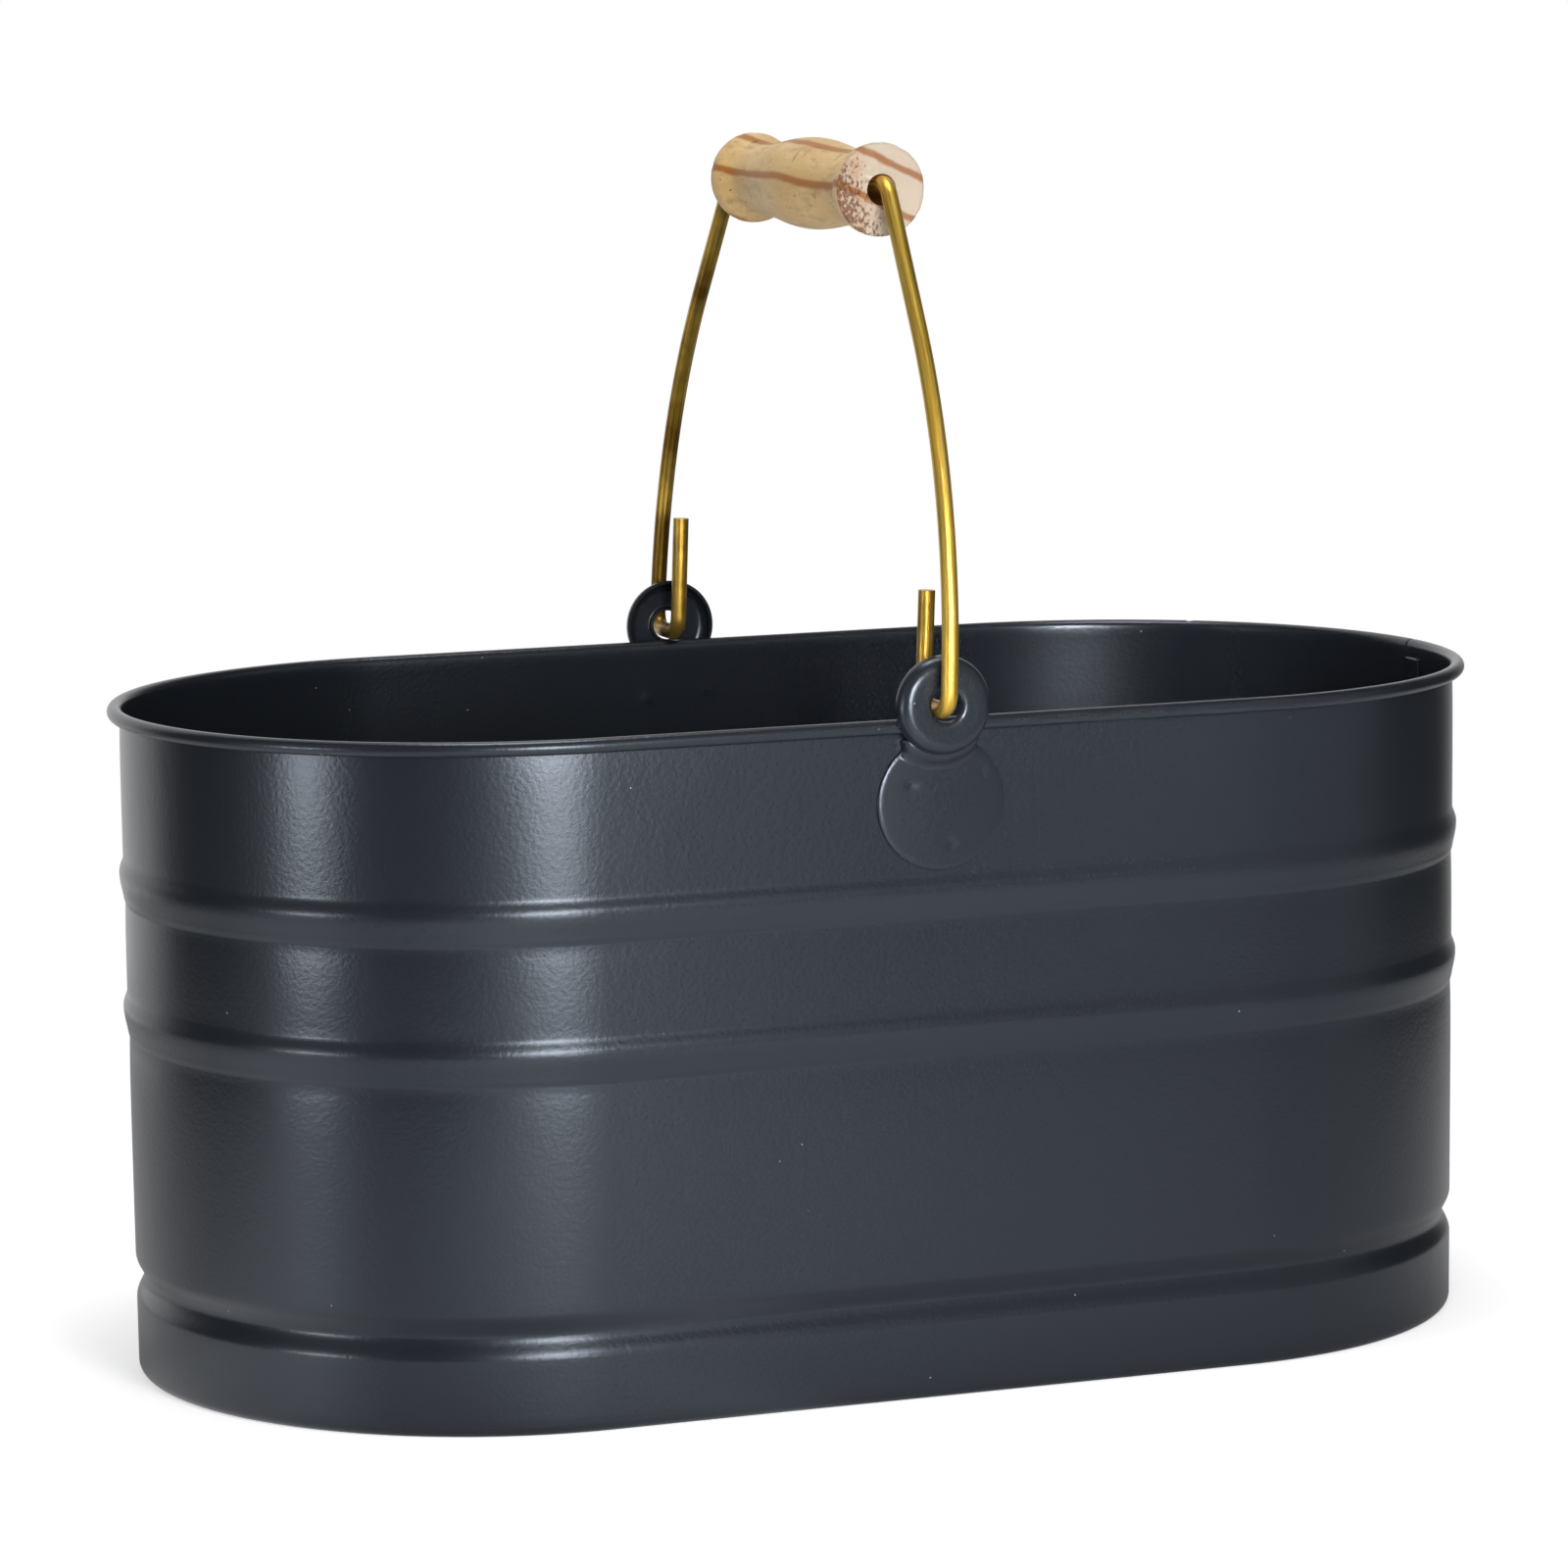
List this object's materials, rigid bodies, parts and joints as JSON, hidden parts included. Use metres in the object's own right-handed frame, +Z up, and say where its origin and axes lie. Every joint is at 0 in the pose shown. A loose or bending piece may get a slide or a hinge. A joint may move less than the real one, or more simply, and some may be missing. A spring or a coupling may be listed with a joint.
{
  "type": "utility bucket",
  "caption": "Oval painted steel utility bucket with a rolled rim, two stamped ears, a swinging wire bail and a turned wooden grip.",
  "frame": {"origin": "centre of the base, on the surface that the bucket stands on", "axes": "+Z up out of the mouth, +X along the oval's length, -Y towards the front ear"},
  "size_m": [0.3892, 0.2282, 0.3333],
  "materials": {
    "painted_steel": "charcoal powder coat, satin with a fine orange peel",
    "bright_steel": "plain drawn wire",
    "antique_brass": "antique brass, satin, drawn lengthwise",
    "pine": "turned pine under clear varnish, bare rough end grain"
  },
  "bodies": {
    "tub": {"tub_wall": "painted_steel", "base_pan": "painted_steel", "rim_wire": "bright_steel", "ear_front": "painted_steel", "ear_rear": "painted_steel"},
    "bail": {"bail_wire": "antique_brass"},
    "grip": {"wooden_grip": "pine"}
  },
  "joints": [
    {"name": "bail_swing", "type": "hinge", "parent": "tub", "child": "bail", "pos_m": [-0.00088, 0, 0.18665], "axis": [0, 1, 0], "range_deg": [-92.45, 87.55]},
    {"name": "grip_spin", "type": "hinge", "parent": "bail", "child": "grip", "pos_m": [0.00486, 0, 0.32068], "axis": [0, 1, 0], "continuous": true}
  ]
}
